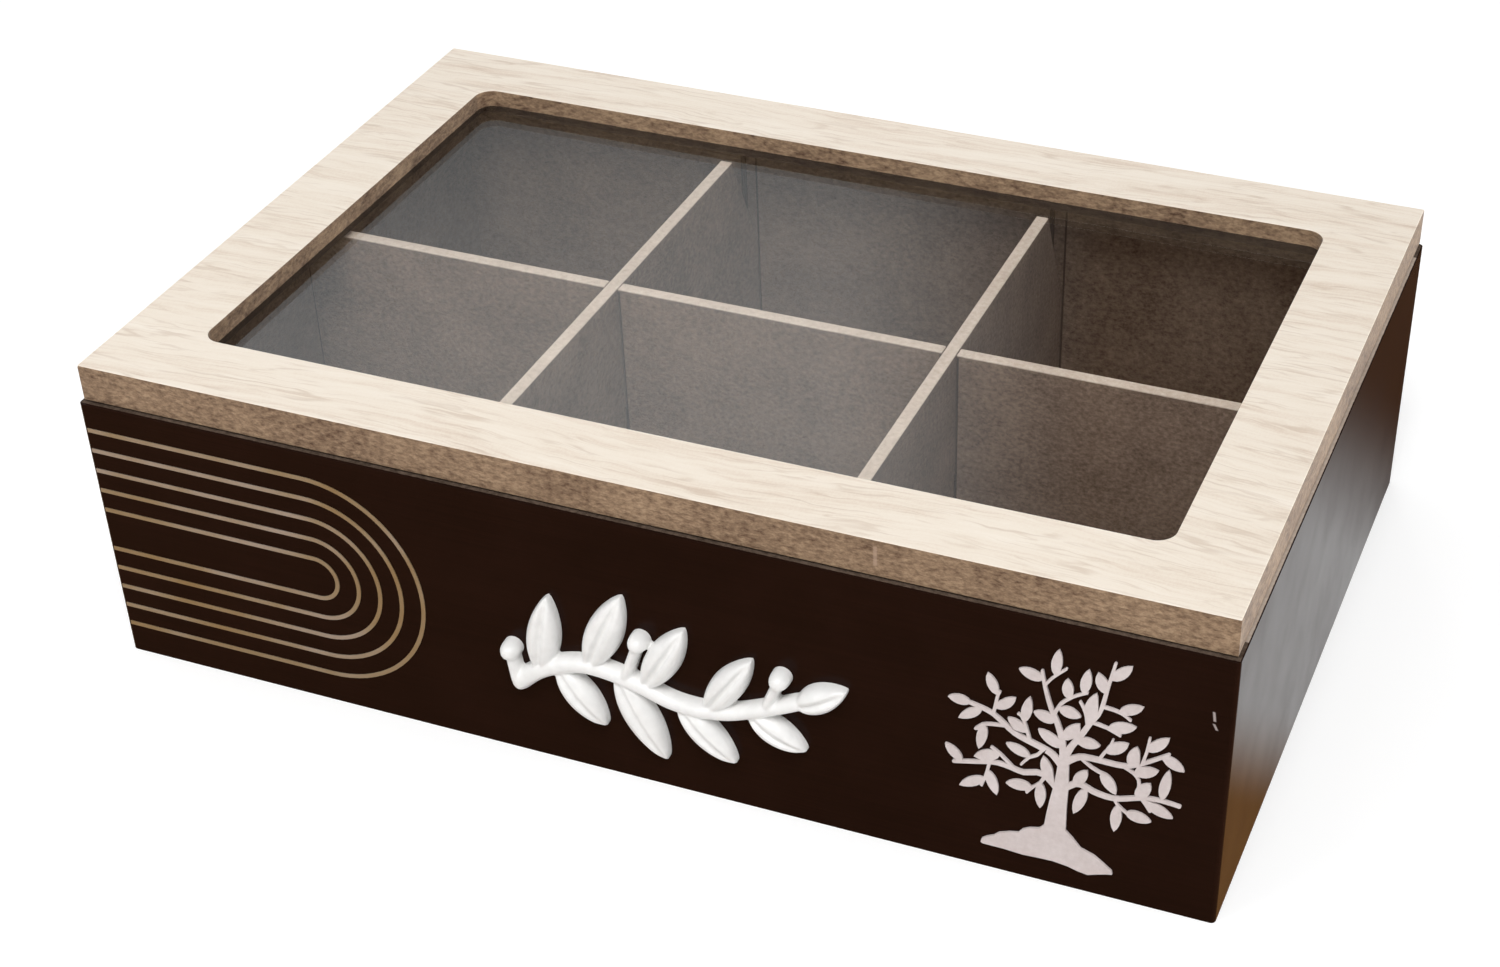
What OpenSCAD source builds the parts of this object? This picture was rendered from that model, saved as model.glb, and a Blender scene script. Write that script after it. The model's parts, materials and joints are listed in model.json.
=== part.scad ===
// Six-compartment tea bag box with a hinged window lid.
// Millimetres. +Z is up, X runs along the long side and the front faces -Y.
// The origin is the centre of the underside, where the box rests.

/* [Box] */
// Outside width, left to right
box_w = 240; // [210:1:300]
// Outside depth, front to back
box_d = 158; // [120:1:200]
// Height of the four walls
box_h = 62.5; // [61:0.5:100]
// Thickness of the wall boards
wall_t = 6; // [5.5:0.5:9]
// Rounding of the upright outer corners
corner_r = 1; // [0.4:0.1:2]
// Thickness of the bottom panel
bottom_t = 3; // [2:0.5:4]
// Depth of the rebate that the bottom panel sits in
bottom_rebate = 3; // [2.6:0.2:4]
// Length of a nail that holds the bottom panel
brad_len = 9; // [7:0.5:12]

/* [Dividers] */
// Thickness of the divider boards
divider_t = 2.75; // [2:0.25:4]
// Depth of the grooves that the divider ends slide into
groove_depth = 1.5; // [1:0.25:2.5]
// Distance from the rim down to the top of the dividers
divider_drop = 0.3; // [0.2:0.1:4]
// Length of the cut at the top rear corner of a short divider, along its top
rear_cut_run = 12.5; // [6:0.5:20]
// Height of the same cut, down to the back wall
rear_cut_drop = 26; // [12:1:40]

/* [Lid] */
// Thickness of the lid, foil included
lid_t = 8; // [7.4:0.2:12]
// Thin gap between the rim and the underside of the lid
lid_gap = 0.5; // [0.3:0.1:1]
// Thickness of the wood-print foil on the lid
foil_t = 0.4; // [0.2:0.1:0.8]
// How far each end of the lid stays inside the box
lid_side_inset = 0.8; // [0:0.1:2]
// How far the front edge of the lid stays behind the front wall
lid_front_inset = 1.2; // [0:0.1:3]
// Width of the frame around the window
frame_w = 17.5; // [15:0.5:26]
// Rounding of the window corners
window_r = 4; // [2:0.5:9]

/* [Window pane] */
// Thickness of the pane
pane_t = 2; // [1.5:0.25:2.5]
// Depth of the pane below the top of the lid
pane_depth = 4; // [3:0.25:4.25]
// Width of the ledge that the pane lies against
pane_ledge = 5; // [3:0.5:7]
// Width of the strips that hold the pane
strip_w = 4; // [3:0.5:6]

/* [Hinges] */
// Length of a hinge
hinge_len = 24; // [20:1:34]
// Distance between the middles of the two hinges
hinge_spacing = 160; // [90:1:170]
// Thickness of a hinge leaf
leaf_t = 0.8; // [0.5:0.1:1]
// Reach of a leaf from the hinge axis
leaf_reach = 7; // [6:0.25:7.5]
// Radius of the hinge knuckles
knuckle_r = 1.5; // [1.4:0.1:1.8]
// Radius of the hinge pin
pin_r = 0.7; // [0.5:0.05:0.9]
// Length of a hinge screw under its head
screw_len = 5.3; // [4:0.1:5.6]
// Radius of a hinge screw's shank
screw_r = 0.7; // [0.5:0.05:0.9]
// Distance between the two screws of a leaf
screw_spacing = 15; // [12:0.5:18]

/* [Line arches] */
// Number of nested lines
arch_count = 5; // [2:1:5]
// Distance from one line to the next, and radius of the inner bend
arch_pitch = 4.9; // [3.5:0.1:5.2]
// Length of the straight part of the lines
arch_run = 49.5; // [10:0.5:60]
// Distance from the left edge of the front to the open ends
arch_margin = 1; // [1:0.5:10]
// Height of the middle of the bends
arch_z = 31.9; // [29:0.1:33]
// Width of a line
line_w = 0.9; // [0.6:0.1:2]
// Thickness of the gold lines on the front
line_t = 0.2; // [0.1:0.05:0.6]

/* [Leaf sprig] */
// Length of the sprig
sprig_len = 74; // [64:1:76]
// Thickness of the raised white sprig
sprig_t = 4.5; // [3:0.25:8]
// Rounding of its front edges
edge_round = 1.1; // [0.5:0.1:1.4]
// Middle of the sprig, to the right of the middle of the front
sprig_x = 9; // [0:1:16]
// Height of the middle of the sprig
sprig_z = 27; // [26:0.5:34]

/* [Tree] */
// Height of the tree
tree_h = 52; // [44:1:54]
// Thickness of the flat tree
tree_t = 0.5; // [0.4:0.1:3]
// Distance from the trunk to the right edge of the front
tree_margin = 32; // [26:0.5:40]
// Height of the foot of the tree
tree_z = 5; // [3:0.5:8]

/* [Hidden] */

$fn = 48;

// Clearances
panel_fit = 0.1;      // around the bottom panel in its rebate
divider_fit = 0.25;   // beside and behind a divider in its groove or slot
pane_fit = 0.5;       // around the pane in its pocket
strip_fit = 0.2;      // between the ends of the strips
strip_recess = 0.2;   // strips stay above the underside of the lid
pin_fit = 0.05;       // around the hinge pin
screw_fit = 0.05;     // around a screw or nail in its hole
knuckle_gap = 0.3;    // between a knuckle and what turns past it
end_gap = 0.2;        // between neighbouring knuckles
over = 1;             // cutters reach this far past a face

// Box
in_w = box_w - 2 * wall_t;
in_d = box_d - 2 * wall_t;
front_y = -box_d / 2;
back_y = box_d / 2;

// Bottom panel and its nails
brad_r = 0.6;
brad_head_r = 1.1;
brad_head_h = 0.4;
brad_sink = 0.2;
panel_w = in_w + 2 * bottom_rebate;
panel_d = in_d + 2 * bottom_rebate;
brad_line_x = in_w / 2 + bottom_rebate / 2;
brad_line_y = in_d / 2 + bottom_rebate / 2;
brad_places = [
    for (x = [-0.36, 0, 0.36], side = [-1, 1]) [x * panel_w, side * brad_line_y],
    for (y = [-0.25, 0.25], side = [-1, 1]) [side * brad_line_x, y * panel_d]
];

// Dividers
divider_top = box_h - divider_drop;
slot_z = (bottom_t + divider_top) / 2;
short_x = (in_w + divider_t) / 6;     // makes three compartments of equal width
groove_w = divider_t + 2 * divider_fit;
tongue = groove_depth - divider_fit;

// Lid
lid_z = box_h + lid_gap;
lid_top = lid_z + lid_t;
lid_w = box_w - 2 * lid_side_inset;
lid_d = box_d - lid_front_inset;
lid_y = lid_front_inset / 2;
window_w = lid_w - 2 * frame_w;
window_d = lid_d - 2 * frame_w;
pocket_w = window_w + 2 * pane_ledge;
pocket_d = window_d + 2 * pane_ledge;
pocket_r = 3;
pane_z = lid_top - pane_depth - pane_t;
strip_z = lid_z + strip_recess;
strip_t = pane_z - strip_z;

// Hinges, drawn about their own axis
hinge_y = back_y + knuckle_r + knuckle_gap;
hinge_z = box_h + lid_gap / 2;
leaf_y = -(knuckle_r + knuckle_gap);
clear_r = knuckle_r + knuckle_gap;
lid_knuckle_len = hinge_len / 3;
screw_drop = (leaf_reach + clear_r) / 2;
screw_head_r = 1.3;
screw_head_h = 0.5;
screw_slot = 0.3;
pin_head_r = 1.1;
pin_head_h = 0.4;

// Leaf sprig, about its own middle: points of the stem, then leaves as
// foot, tip and width, then berries as foot and centre
sprig_drawn_len = 74; // length at which the points are written
sprig_stem = [[-34, -9], [-27, -3], [-18, 0.5], [-8, -0.5], [2, -3.5], [12, -3], [22, 1], [29, 4.5]];
sprig_stem_w = [4.2, 3];
sprig_leaves = [
    [[-28, -4], [-25, 15], 7],
    [[-17, 0], [-9, 19], 7.5],
    [[-5, -1.5], [4, 14.5], 7],
    [[8, -3.5], [18, 11], 6.5],
    [[-24, -1.5], [-14, -14], 7],
    [[-11, 0], [-1, -19], 7.5],
    [[2, -3.5], [14, -15.5], 6.5],
    [[17, -1.5], [29, -8], 6],
    [[27, 3], [37.5, 9], 6]
];
sprig_berries = [[[-33, -8], [-34, 0]], [[-9, -0.5], [-5.5, 9.5]], [[21, 1], [24, 8.5]]];
berry_r = 2.1;
stalk_w = 2.4;
edge_steps = 2;       // layers that round the front edges

// Tree, from the middle of its foot: mound, limbs as first width, last width
// and points, then leaves as foot, tip and width
tree_drawn_h = 52;    // height at which the points are written
mound = [
    [-14.6, 1.3], [-14.4, 2.3], [-13.5, 3], [-12, 3.8], [-11, 4.8], [-9, 5.6], [-7.1, 6.1],
    [-6.3, 7.2], [-5, 7.9], [-3, 8.5], [-2.2, 9.5], [2.2, 9.5], [3.5, 8.2], [5.3, 6], [8, 5],
    [10, 3.5], [11.6, 2.2], [11.8, 1.3], [10.5, 1], [8.5, 0.3], [7, -0.3], [5, 0], [3, 0.6],
    [0, 1], [-3, 0.9], [-6, 0.7], [-10, 1], [-14, 1]
];
limbs = [
    // trunk
    [4.6, 1.9, [[0, 8], [0.2, 12], [0.5, 16], [0.9, 20], [1.1, 24], [1.2, 28]]],
    // left side, from the top down
    [1.6, 0.9, [[0.8, 25], [-1, 27.2], [-3, 28.2], [-6, 29.2], [-8.5, 30.2], [-10.5, 31.8],
        [-12.8, 33.6], [-15, 34.4], [-17.5, 35]]],
    [0.8, 0.7, [[-12.7, 33.8], [-12.3, 36], [-12, 38], [-11.6, 39]]],
    [0.8, 0.7, [[-10.5, 31.4], [-13, 31], [-14.8, 30.4], [-16.1, 29.1]]],
    [0.8, 0.6, [[-5.5, 29.2], [-6.4, 32.5], [-7.2, 34.5], [-7.9, 35]]],
    [0.8, 0.6, [[-3, 27.8], [-4, 26.2], [-5.5, 25.2], [-7, 23.1]]],
    [1.4, 0.9, [[0.3, 19], [-2, 21.5], [-4, 22], [-6.5, 21.2], [-9, 21.7], [-11.5, 22],
        [-13.5, 21.7], [-16, 21], [-20.2, 19.9]]],
    [0.8, 0.6, [[-8.4, 21.6], [-11, 24.2], [-12.9, 25.5]]],
    [0.8, 0.6, [[-13.2, 21.7], [-13.6, 19.5], [-14.1, 17.5], [-14.6, 15.6]]],
    [0.9, 0.6, [[-2.4, 21.5], [-3.2, 19.6], [-4.5, 18.3], [-5.7, 16.6]]],
    // middle
    [1.5, 0.7, [[1, 27], [0.7, 31], [-0.1, 34], [-0.8, 36], [-1.7, 38], [-2.6, 41],
        [-3.2, 43.5], [-3.7, 46.2]]],
    [0.7, 0.6, [[-3.1, 43], [-2, 44.8], [-0.8, 46.2], [0.8, 47.9]]],
    [0.9, 0.6, [[-1.1, 36.8], [0, 39.5], [1.5, 41.2], [3, 42.4], [4.9, 43.5]]],
    [1.5, 0.7, [[1.3, 27], [2.5, 30.3], [3.7, 32.5], [4.9, 34.9], [5.9, 37], [7.2, 39.2],
        [8, 42], [8.5, 45], [9, 47.5], [9.8, 51.6]]],
    [0.8, 0.6, [[5.3, 35.5], [5, 38], [4.4, 39.8], [3.7, 41.1]]],
    [0.8, 0.6, [[6.1, 37], [9, 36.5], [11.5, 35.4]]],
    [0.8, 0.6, [[7.8, 41.2], [10, 41], [11.8, 40.5], [13.2, 39.5]]],
    // right side, from the top down
    [1.5, 0.8, [[1.4, 26], [3.3, 27.7], [5, 28.4], [8, 28.5], [11, 28.4], [13.5, 28.8],
        [16, 30.2], [18.3, 31.8], [20.7, 33.6]]],
    [0.8, 0.6, [[7.8, 28.6], [8.8, 30.7], [9.6, 32], [10.2, 34]]],
    [0.8, 0.7, [[12.3, 28.5], [14.5, 27.4], [15.5, 26], [15.6, 24.5]]],
    [0.8, 0.7, [[4.3, 28.1], [6.5, 26.4], [8.8, 25.4]]],
    [0.8, 0.6, [[15.9, 30], [16.6, 33], [17, 36.4]]],
    [1.5, 0.9, [[1.2, 19.5], [3.5, 21.5], [5.2, 21.5], [7, 20.7], [9.5, 20.2], [12, 20.4],
        [14.5, 21.3], [17, 22.1], [20, 22.4], [23.4, 22.1]]],
    [0.8, 0.6, [[11.2, 20.4], [11.9, 18.8], [13.8, 17.3]]],
    [0.8, 0.6, [[16.3, 21.8], [17.4, 20.2], [18, 19.2]]]
];
tree_leaves = [
    [[-17, 35], [-21.7, 35.3], 2.3], [[-14.8, 34.2], [-19.6, 30.7], 2.2],
    [[-12.1, 38.2], [-14.1, 43], 2.2], [[-12.1, 35], [-8.4, 38.6], 2.2],
    [[-14.3, 30.8], [-15.4, 24.3], 2.2], [[-6.8, 33.2], [-5.8, 39.7], 2.2],
    [[-6, 31], [-10, 33.6], 2.3], [[-1.2, 20.6], [-2.9, 26.4], 2.4],
    [[-18.5, 20.3], [-22.1, 24], 2.2], [[-11, 24.3], [-16.4, 22.3], 2.6],
    [[-13.9, 17.6], [-19.2, 14.3], 2.3], [[-13.6, 19.8], [-11.5, 14], 2.3],
    [[-3.1, 19.9], [-3, 13.4], 2.3], [[-4.7, 18.2], [-10, 17.7], 2.6],
    [[-5.2, 25.4], [-10.2, 27.4], 2.3], [[-3.3, 44.2], [-8.2, 45.6], 2.5],
    [[-1.3, 45.8], [-0.7, 52], 2.2], [[-0.6, 35.1], [-5.1, 36.4], 2.6],
    [[0.7, 29.3], [-4.1, 32.6], 2.6], [[1.4, 41.1], [1.1, 45.8], 2.3],
    [[4.2, 43], [5, 49], 2.2], [[-0.4, 38.5], [4.1, 37.6], 2.6],
    [[0.7, 31.3], [3.9, 36], 2.5], [[3.2, 31.9], [8, 31.9], 2.6],
    [[4.9, 37.8], [6.7, 44], 2.3], [[8.9, 36.4], [14.5, 38.2], 2.6],
    [[10.8, 40.7], [15.6, 43.2], 2.3], [[8.5, 44.2], [6.6, 48.7], 2.5],
    [[9.2, 47.6], [13, 51.8], 2.3], [[8.8, 30.7], [13.3, 34], 2.6],
    [[13.7, 28.7], [14.8, 33.8], 2.5], [[16.7, 33.2], [20.7, 37.5], 2.3],
    [[19.5, 33], [23.9, 30.5], 2.4], [[14.3, 27.3], [19.2, 29.3], 2.6],
    [[15.2, 21.6], [17.8, 25.9], 2.7], [[8.3, 26], [11.5, 21.2], 2.5],
    [[3.3, 21.3], [5.8, 25.4], 2.4], [[5.7, 21.2], [3.5, 14.1], 2.4],
    [[11.9, 19], [11.5, 12.1], 2.3], [[13.3, 17.5], [18.5, 16.7], 2.6],
    [[17, 21], [22.5, 18.8], 2.5], [[20, 22.4], [21, 30.2], 2.2]
];
fork_fillet = 0.25;   // rounding inside the forks
cut_slim = 0.07;      // the cutter takes this much off the drawn outline

// ---------------------------------------------------------------- helpers

// Rectangle with rounded corners, centred
module rounded_rect(w, d, r) {
    square([w - 2 * r, d], center = true);
    square([w, d - 2 * r], center = true);
    for (x = [-1, 1], y = [-1, 1])
        translate([x * (w / 2 - r), y * (d / 2 - r)]) circle(r);
}

// Puts a drawing on the front wall: its x stays x, its y becomes height,
// and its z points out of the wall
module on_front(x, z) {
    translate([x, front_y, z]) rotate([90, 0, 0]) children();
}

// Smooth curve through points, with n steps between two of them
function spline_point(a, b, c, d, t) =
    0.5 * (2 * b + (c - a) * t + (2 * a - 5 * b + 4 * c - d) * t * t
        + (3 * b - a - 3 * c + d) * t * t * t);
function smooth_path(p, n) = [
    for (i = [0 : len(p) - 2], j = [0 : n - 1])
        spline_point(p[max(i - 1, 0)], p[i], p[i + 1], p[min(i + 2, len(p) - 1)], j / n),
    p[len(p) - 1]
];

// Flat limb that follows points and tapers from w0 to w1, with a round end
function heading(p, i) =
    let (step = p[min(i + 1, len(p) - 1)] - p[max(i - 1, 0)]) step / norm(step);
function beside(p, i, off) = p[i] + off * [-heading(p, i).y, heading(p, i).x];
module limb(w0, w1, points, n = 2) {
    path = smooth_path(points, n);
    last = len(path) - 1;
    function half(i) = (w0 + (w1 - w0) * i / last) / 2;
    polygon([
        for (i = [0 : last]) beside(path, i, half(i)),
        for (i = [last : -1 : 0]) beside(path, i, -half(i))
    ]);
    translate(path[last]) circle(d = w1, $fn = 12);
}

// Outline of a leaf from foot to tip: widest near the middle, rounded at both ends
leaf_steps = 7;
function leaf_half(u, w) = w / 2 * pow(sin(180 * pow(u, 0.9)), 0.7);
module leaf_outline(foot, tip, w) {
    reach = norm(tip - foot);
    translate(foot) rotate(atan2(tip.y - foot.y, tip.x - foot.x))
        polygon([
            for (i = [0 : leaf_steps]) [reach * i / leaf_steps, leaf_half(i / leaf_steps, w)],
            for (i = [leaf_steps - 1 : -1 : 1])
                [reach * i / leaf_steps, -leaf_half(i / leaf_steps, w)]
        ]);
}

// ------------------------------------------------------------------ walls

// Upright bores for the nails of the bottom panel
module brad_bores() {
    for (p = brad_places)
        translate([p.x, p.y, -over])
            cylinder(r = brad_r + screw_fit, h = brad_len + brad_sink + over + screw_fit);
}

// Rebate around the inside of the box for the bottom panel
module bottom_cut() {
    translate([-panel_w / 2, -panel_d / 2, -over]) cube([panel_w, panel_d, bottom_t + over]);
}

// Board across the whole width, with rounded outer corners, grooves for the
// short dividers and the rebate for the bottom; inner face towards +Y
module cross_wall() {
    difference() {
        translate([0, front_y, 0]) linear_extrude(box_h) {
            translate([-box_w / 2, corner_r]) square([box_w, wall_t - corner_r]);
            translate([-box_w / 2 + corner_r, 0]) square([box_w - 2 * corner_r, wall_t]);
            for (side = [-1, 1]) translate([side * (box_w / 2 - corner_r), corner_r]) circle(corner_r);
        }
        bottom_cut();
        for (side = [-1, 1])
            translate([side * short_x - groove_w / 2, front_y + wall_t - groove_depth, bottom_t - over])
                cube([groove_w, groove_depth + over, box_h + 2 * over]);
        brad_bores();
    }
}

module front_wall() {
    color("#2a1a15") cross_wall();
}

module back_wall() {
    color("#2a1a15") difference() {
        mirror([0, 1, 0]) cross_wall();
        for (side = [-1, 1]) hinge_screw_bores(side, -1);
    }
}

// Board between the front and back walls, with a groove for the long divider
module end_wall(side) {
    difference() {
        translate([side > 0 ? in_w / 2 : -box_w / 2, -in_d / 2, 0]) cube([wall_t, in_d, box_h]);
        bottom_cut();
        translate([side * (in_w / 2 + groove_depth / 2 - over / 2), 0, box_h / 2 + bottom_t])
            cube([groove_depth + over, groove_w, box_h + 2 * over], center = true);
        brad_bores();
    }
}

module left_wall() {
    color("#2f1e18") end_wall(-1);
}

module right_wall() {
    color("#2f1e18") end_wall(1);
}

// ----------------------------------------------------------------- bottom

module bottom_panel() {
    color("#8a6f58") difference() {
        translate([-panel_w / 2 + panel_fit, -panel_d / 2 + panel_fit, 0])
            cube([panel_w - 2 * panel_fit, panel_d - 2 * panel_fit, bottom_t]);
        brad_bores();
        for (p = brad_places)
            translate([p.x, p.y, -over])
                cylinder(r = brad_head_r + screw_fit, h = over + brad_sink + brad_head_h);
    }
}

module bottom_brads() {
    color("silver") for (p = brad_places)
        translate([p.x, p.y, brad_sink]) {
            cylinder(r = brad_r, h = brad_len);
            cylinder(r = brad_head_r, h = brad_head_h);
        }
}

// --------------------------------------------------------------- dividers

// Slots are open at the top; the short dividers drop into them
module long_divider() {
    length = in_w + 2 * tongue;
    color("#9a8a7b") difference() {
        translate([-length / 2, -divider_t / 2, bottom_t])
            cube([length, divider_t, divider_top - bottom_t]);
        for (side = [-1, 1])
            translate([side * short_x - groove_w / 2, -divider_t, slot_z - divider_fit])
                cube([groove_w, 2 * divider_t, box_h]);
    }
}

// The slot is open at the bottom and straddles the long divider. The outline is
// drawn with y as depth and z as height; the top rear corner is cut at a slant.
module short_divider(side) {
    front_end = -in_d / 2 - tongue;
    back_end = in_d / 2 + tongue;
    slant = rear_cut_drop / rear_cut_run;
    low_end = divider_top - slant * (rear_cut_run + tongue);
    difference() {
        translate([side * short_x - divider_t / 2, 0, 0]) rotate([90, 0, 90])
            linear_extrude(divider_t) polygon([
                [front_end, bottom_t], [back_end, bottom_t], [back_end, low_end],
                [in_d / 2 - rear_cut_run, divider_top], [front_end, divider_top]
            ]);
        translate([side * short_x - divider_t, -groove_w / 2, -over])
            cube([2 * divider_t, groove_w, slot_z + divider_fit + over]);
    }
}

module left_short_divider() {
    color("#a39384") short_divider(-1);
}

module right_short_divider() {
    color("#a39384") short_divider(1);
}

// -------------------------------------------------------- front decoration

// Band around a half circle of radius r, with straight ends that run to the left
module arch_line(r) {
    bend = [for (a = [-90 : 5 : 90]) [cos(a), sin(a)]];
    outer = r + line_w / 2;
    inner = r - line_w / 2;
    polygon([
        [-arch_run, -outer], for (p = bend) outer * p, [-arch_run, outer],
        [-arch_run, inner], for (i = [len(bend) - 1 : -1 : 0]) inner * bend[i], [-arch_run, -inner]
    ]);
}

module arch_lines() {
    color("#c2ab7d") on_front(-box_w / 2 + arch_margin + arch_run, arch_z)
        linear_extrude(line_t)
            for (k = [1 : arch_count]) arch_line(k * arch_pitch);
}

module sprig_outline() {
    scale(sprig_len / sprig_drawn_len) {
        limb(sprig_stem_w[0], sprig_stem_w[1], sprig_stem, 3);
        translate(sprig_stem[0]) circle(d = sprig_stem_w[0], $fn = 16);
        for (l = sprig_leaves) leaf_outline(l[0], l[1], l[2]);
        for (b = sprig_berries) {
            limb(stalk_w, stalk_w, b, 1);
            translate(b[1]) circle(berry_r, $fn = 20);
        }
    }
}

// The front edges are rounded in steps: each layer is a little smaller and higher
module leaf_sprig() {
    color("white") on_front(sprig_x, sprig_z)
        for (a = [0 : 90 / edge_steps : 90])
            linear_extrude(sprig_t - edge_round * (1 - sin(a)))
                offset(delta = -edge_round * (1 - cos(a))) sprig_outline();
}

module tree_silhouette() {
    color("#ddd1cf") on_front(box_w / 2 - tree_margin, tree_z)
        linear_extrude(tree_t)
            offset(delta = -fork_fillet - cut_slim) offset(delta = fork_fillet) scale(tree_h / tree_drawn_h) {
                polygon(mound);
                for (l = limbs) limb(l[0], l[1], l[2]);
                for (l = tree_leaves) leaf_outline(l[0], l[1], l[2]);
            }
}

// -------------------------------------------------------------------- lid

module lid_outline() {
    translate([-lid_w / 2, lid_y - lid_d / 2]) square([lid_w, lid_d]);
}

module window_outline() {
    translate([0, lid_y]) rounded_rect(window_w, window_d, window_r);
}

// One board with the window through it and a pocket for the pane from below
module lid_frame() {
    color("#9c8069") difference() {
        translate([0, 0, lid_z]) linear_extrude(lid_t - foil_t) lid_outline();
        translate([0, 0, lid_z - over]) linear_extrude(lid_t + 2 * over) window_outline();
        translate([0, lid_y, lid_z - over]) linear_extrude(lid_t - pane_depth + over)
            rounded_rect(pocket_w, pocket_d, pocket_r);
        for (side = [-1, 1]) hinge_screw_bores(side, 1);
    }
}

module lid_foil() {
    color("#ebe1d0") translate([0, 0, lid_top - foil_t]) linear_extrude(foil_t)
        difference() {
            lid_outline();
            window_outline();
        }
}

module window_pane() {
    color("lightcyan", 0.35) translate([0, lid_y, pane_z]) linear_extrude(pane_t)
        rounded_rect(pocket_w - 2 * pane_fit, pocket_d - 2 * pane_fit, pocket_r);
}

// Strips along the front and back of the pocket stop short of its round corners
module cross_strip(side) {
    length = pocket_w - 2 * pocket_r;
    translate([-length / 2, lid_y + side * (pocket_d / 2 - strip_w / 2) - strip_w / 2, strip_z])
        cube([length, strip_w, strip_t]);
}

// Strips along the ends fit between the front and back strips
module end_strip(side) {
    length = pocket_d - 2 * strip_w - 2 * strip_fit;
    translate([side * (pocket_w / 2 - strip_w / 2) - strip_w / 2, lid_y - length / 2, strip_z])
        cube([strip_w, length, strip_t]);
}

module front_pane_strip() {
    color("#b59b80") cross_strip(-1);
}

module back_pane_strip() {
    color("#b59b80") cross_strip(1);
}

module left_pane_strip() {
    color("#b59b80") end_strip(-1);
}

module right_pane_strip() {
    color("#b59b80") end_strip(1);
}

// ----------------------------------------------------------------- hinges

// Puts what is drawn about the hinge axis at the left or right hinge
module at_hinge(side) {
    translate([side * hinge_spacing / 2, hinge_y, hinge_z]) children();
}

// Runs along Y from y0, at the screws of one leaf; up is 1 for the lid, -1 for the box
module at_screws(up, y0) {
    for (x = [-1, 1])
        translate([x * screw_spacing / 2, y0, up * screw_drop]) rotate([90, 0, 0]) children();
}

// Blind pilot holes in the board behind a leaf
module hinge_screw_bores(side, up) {
    depth = screw_len - leaf_t + screw_fit;
    at_hinge(side) at_screws(up, leaf_y + over) cylinder(r = screw_r + screw_fit, h = depth + over);
}

// Leaf plate with its knuckles. The box leaf has the two outer knuckles,
// the lid leaf the one between them.
module hinge_leaf(up) {
    outer_len = (hinge_len - lid_knuckle_len) / 2 - end_gap;
    middle_cut = lid_knuckle_len + 2 * end_gap;
    difference() {
        union() {
            translate([-hinge_len / 2, leaf_y, up > 0 ? 0 : -leaf_reach])
                cube([hinge_len, leaf_t, leaf_reach]);
            if (up > 0)
                translate([-lid_knuckle_len / 2, 0, 0]) rotate([0, 90, 0])
                    cylinder(r = knuckle_r, h = lid_knuckle_len);
            else
                for (x = [-hinge_len / 2, hinge_len / 2 - outer_len])
                    translate([x, 0, 0]) rotate([0, 90, 0]) cylinder(r = knuckle_r, h = outer_len);
        }
        // Room for the other leaf's knuckles
        if (up > 0)
            for (x = [-1, 1])
                translate([x * (lid_knuckle_len / 2 + hinge_len / 2), 0, 0])
                    cube([hinge_len, 2 * over + 2 * clear_r, 2 * clear_r], center = true);
        else
            cube([middle_cut, 2 * over + 2 * clear_r, 2 * clear_r], center = true);
        translate([-hinge_len, 0, 0]) rotate([0, 90, 0]) cylinder(r = pin_r + pin_fit, h = 2 * hinge_len);
        at_screws(up, leaf_y + leaf_t + over) cylinder(r = screw_r + screw_fit, h = leaf_t + 2 * over);
    }
}

// Cross-head screws with low heads on the outside of a leaf
module hinge_screws(up) {
    at_screws(up, leaf_y + leaf_t) {
        cylinder(r = screw_r, h = screw_len);
        difference() {
            translate([0, 0, -screw_head_h])
                cylinder(r1 = screw_head_r - screw_head_h / 2, r2 = screw_head_r, h = screw_head_h);
            for (turn = [0, 90]) rotate(turn) translate([0, 0, -screw_head_h])
                cube([1.4 * screw_head_r, screw_slot, screw_head_h], center = true);
        }
    }
}

module hinge_pin() {
    length = hinge_len + 2 * end_gap;
    translate([-length / 2, 0, 0]) rotate([0, 90, 0]) cylinder(r = pin_r, h = length);
    for (x = [-length / 2 - pin_head_h, length / 2])
        translate([x, 0, 0]) rotate([0, 90, 0]) cylinder(r = pin_head_r, h = pin_head_h);
}

module left_hinge_box_leaf() {
    color("#b8a36a") at_hinge(-1) hinge_leaf(-1);
}

module right_hinge_box_leaf() {
    color("#b8a36a") at_hinge(1) hinge_leaf(-1);
}

module left_hinge_lid_leaf() {
    color("#b8a36a") at_hinge(-1) hinge_leaf(1);
}

module right_hinge_lid_leaf() {
    color("#b8a36a") at_hinge(1) hinge_leaf(1);
}

module left_hinge_pin() {
    color("#8f7d4e") at_hinge(-1) hinge_pin();
}

module right_hinge_pin() {
    color("#8f7d4e") at_hinge(1) hinge_pin();
}

module left_hinge_box_screws() {
    color("#d8c88f") at_hinge(-1) hinge_screws(-1);
}

module right_hinge_box_screws() {
    color("#d8c88f") at_hinge(1) hinge_screws(-1);
}

module left_hinge_lid_screws() {
    color("#d8c88f") at_hinge(-1) hinge_screws(1);
}

module right_hinge_lid_screws() {
    color("#d8c88f") at_hinge(1) hinge_screws(1);
}

// --------------------------------------------------------------- assembly

front_wall();
back_wall();
left_wall();
right_wall();
bottom_panel();
bottom_brads();
long_divider();
left_short_divider();
right_short_divider();
arch_lines();
leaf_sprig();
tree_silhouette();
lid_frame();
lid_foil();
front_pane_strip();
back_pane_strip();
left_pane_strip();
right_pane_strip();
left_hinge_box_leaf();
right_hinge_box_leaf();
left_hinge_lid_leaf();
right_hinge_lid_leaf();
left_hinge_pin();
right_hinge_pin();
left_hinge_box_screws();
right_hinge_box_screws();
left_hinge_lid_screws();
right_hinge_lid_screws();
window_pane();
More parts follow.
